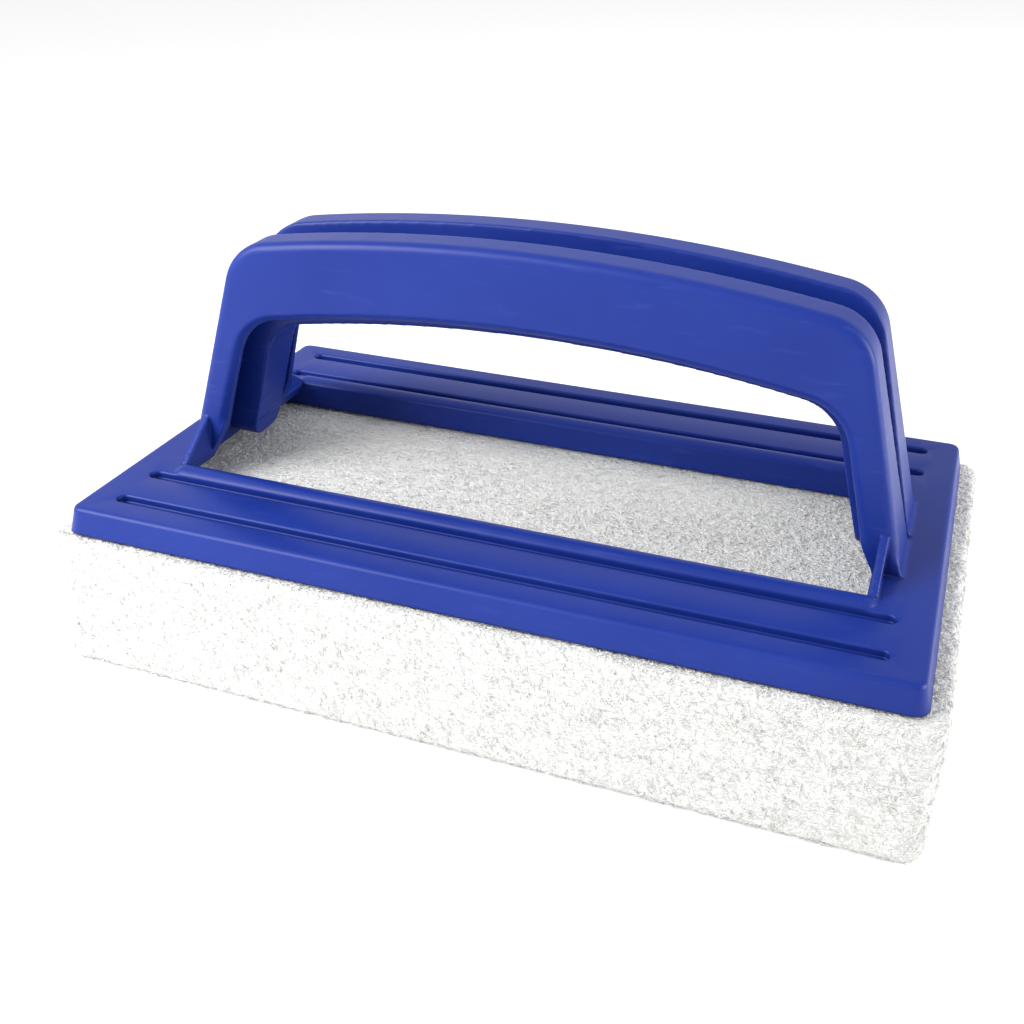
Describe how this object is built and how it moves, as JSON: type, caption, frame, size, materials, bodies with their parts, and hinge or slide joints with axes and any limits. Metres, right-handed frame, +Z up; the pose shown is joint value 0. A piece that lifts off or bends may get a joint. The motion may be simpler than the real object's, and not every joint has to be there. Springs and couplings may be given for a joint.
{
  "type": "pool wall brush",
  "caption": "Hand brush for scrubbing pool walls: a moulded plastic holder with an arched handle over a windowed base plate, on a thick non-woven fibre pad that pulls off for replacement.",
  "frame": {"origin": "on the floor under the middle of the pad: the middle of the part's bounding box, at its bottom", "axes": "+X along the handle and the pad's length, +Y across it, +Z up from the pad's scrubbing face to the handle"},
  "size_m": [0.159, 0.0954, 0.0784],
  "materials": {
    "holder_plastic": "satin",
    "pad_fibre": "matte",
    "hook_nylon": "satin",
    "tape_foam": "matte"
  },
  "bodies": {
    "pad": {"pad": "pad_fibre"},
    "holder": {"holder": "holder_plastic", "hook_strip_front": "hook_nylon", "hook_strip_rear": "hook_nylon", "foam_tape_front": "tape_foam", "foam_tape_rear": "tape_foam"}
  },
  "joints": [
    {"name": "pad_release", "type": "slide", "parent": "pad", "child": "holder", "axis": [0, 0, 1], "range_m": [0, 0.04]}
  ]
}
